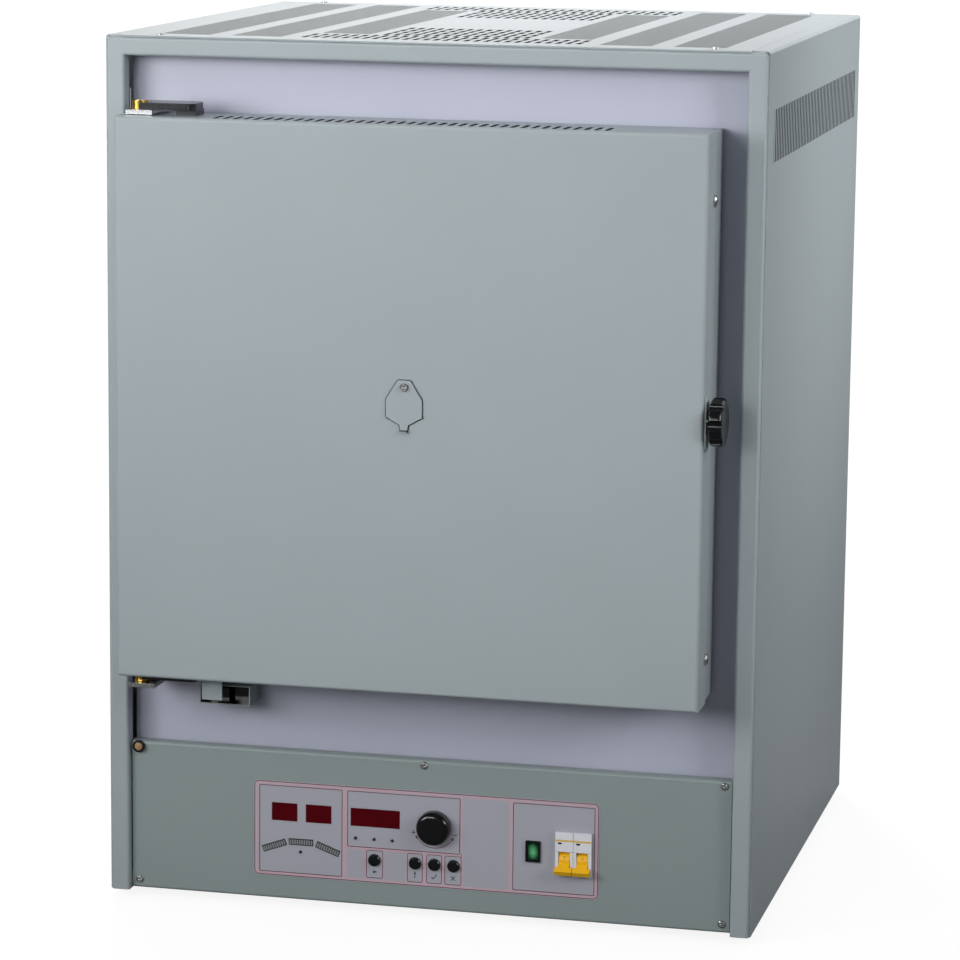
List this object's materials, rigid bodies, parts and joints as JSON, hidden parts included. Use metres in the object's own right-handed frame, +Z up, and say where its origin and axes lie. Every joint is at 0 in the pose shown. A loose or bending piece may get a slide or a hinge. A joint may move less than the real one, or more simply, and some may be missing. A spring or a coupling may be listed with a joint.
{
  "type": "muffle furnace",
  "caption": "Laboratory muffle furnace: perforated sheet casing, side-hung insulated door with peephole flap and star-knob latch, ceramic chamber, control bay below.",
  "frame": {"origin": "on the surface that the furnace stands on, under the middle of its bounding box", "axes": "+Z up along the height, +X to the right seen from the front, +Y to the back; the door opens towards -Y"},
  "size_m": [0.65, 0.7085, 0.865],
  "materials": {
    "body_paint": "satin",
    "zinc_sheet": "satin",
    "foot_rubber": "matte",
    "fascia_paint": "satin",
    "dense_ceramic": "matte",
    "fibre_board": "matte",
    "coil_wire": "matte",
    "panel_paint": "satin",
    "overlay_film": "satin",
    "red_filter": "gloss",
    "lamp_plastic": "gloss",
    "board_laminate": "satin",
    "black_plastic": "satin",
    "breaker_plastic": "satin",
    "bare_aluminium": "satin",
    "terminal_plastic": "satin",
    "bright_steel": "satin",
    "bracket_paint": "satin",
    "hinge_brass": "satin",
    "rocker_plastic": "gloss",
    "toggle_plastic": "satin"
  },
  "bodies": {
    "casing": {"front_frame": "body_paint", "side_panel_left": "body_paint", "side_panel_right": "body_paint", "top_panel": "body_paint", "rear_panel": "body_paint", "base_pan": "zinc_sheet", "feet": "foot_rubber", "fascia": "fascia_paint", "bay_shelf": "zinc_sheet", "inner_case": "zinc_sheet", "mouth_collar": "dense_ceramic", "chamber_insulation": "fibre_board", "heating_coils": "coil_wire", "hearth_plate": "dense_ceramic", "thermocouple": "dense_ceramic", "exhaust_tube": "dense_ceramic", "control_panel": "panel_paint", "control_overlay": "overlay_film", "display_windows": "red_filter", "indicator_lamps": "lamp_plastic", "control_board": "board_laminate", "encoder_body": "zinc_sheet", "button_switches": "black_plastic", "rocker_bezel": "black_plastic", "breaker_body": "breaker_plastic", "din_rail": "zinc_sheet", "relay_block": "breaker_plastic", "relay_heatsink": "bare_aluminium", "terminal_block": "terminal_plastic", "fan_frame": "black_plastic", "fan_guard": "zinc_sheet", "cable_gland": "black_plastic", "hinge_brackets": "bright_steel", "hinge_pins": "bright_steel", "latch_keeper": "bright_steel", "interlock_box": "bracket_paint", "interlock_switch": "black_plastic", "casing_screws": "bright_steel", "seal_cup": "black_plastic"},
    "door": {"door_cover": "body_paint", "door_pan": "body_paint", "door_insulation": "fibre_board", "door_gasket": "fibre_board", "peephole_tube": "dense_ceramic", "hinge_arms": "bracket_paint", "hinge_barrels": "hinge_brass", "latch_escutcheon": "black_plastic", "interlock_tab": "body_paint", "door_screws": "bright_steel"},
    "latch": {"latch_knob": "black_plastic", "latch_hook": "bright_steel"},
    "flap": {"peephole_flap": "body_paint"},
    "setting": {"setting_knob": "black_plastic"},
    "start_key": {"button_start": "black_plastic"},
    "shift_key": {"button_shift": "black_plastic"},
    "enter_key": {"button_enter": "black_plastic"},
    "cancel_key": {"button_cancel": "black_plastic"},
    "fan_switch": {"rocker_lever": "rocker_plastic"},
    "main_breaker": {"breaker_toggles": "toggle_plastic"},
    "fan": {"fan_rotor": "black_plastic"}
  },
  "joints": [
    {"name": "door_hinge", "type": "hinge", "parent": "casing", "child": "door", "pos_m": [-0.2785, -0.3145, 0.5165], "axis": [0, 0, -1], "range_deg": [0, 110]},
    {"name": "latch_turn", "type": "hinge", "parent": "door", "child": "latch", "pos_m": [0.282, -0.3315, 0.5205], "axis": [-1, 0, 0], "range_deg": [0, 90]},
    {"name": "flap_swing", "type": "hinge", "parent": "door", "child": "flap", "pos_m": [-0.0075, -0.3444, 0.542], "axis": [0, 1, 0], "range_deg": [-90, 90]},
    {"name": "setting_turn", "type": "hinge", "parent": "casing", "child": "setting", "pos_m": [0.0085, -0.2815, 0.0943], "axis": [0, 1, 0], "continuous": true},
    {"name": "start_press", "type": "slide", "parent": "casing", "child": "start_key", "axis": [0, 1, 0], "range_m": [0, 0.002], "stiffness_N_per_m": 300},
    {"name": "shift_press", "type": "slide", "parent": "casing", "child": "shift_key", "axis": [0, 1, 0], "range_m": [0, 0.002], "stiffness_N_per_m": 300},
    {"name": "enter_press", "type": "slide", "parent": "casing", "child": "enter_key", "axis": [0, 1, 0], "range_m": [0, 0.002], "stiffness_N_per_m": 300},
    {"name": "cancel_press", "type": "slide", "parent": "casing", "child": "cancel_key", "axis": [0, 1, 0], "range_m": [0, 0.002], "stiffness_N_per_m": 300},
    {"name": "fan_switch_rock", "type": "hinge", "parent": "casing", "child": "fan_switch", "pos_m": [0.108, -0.2701, 0.0772], "axis": [-1, 0, 0], "range_deg": [0, 16]},
    {"name": "breaker_throw", "type": "hinge", "parent": "casing", "child": "main_breaker", "pos_m": [0.149, -0.2695, 0.0705], "axis": [-1, 0, 0], "range_deg": [0, 66]},
    {"name": "fan_spin", "type": "hinge", "parent": "casing", "child": "fan", "pos_m": [-0.15, 0.3085, 0.108], "axis": [0, 1, 0], "continuous": true}
  ]
}
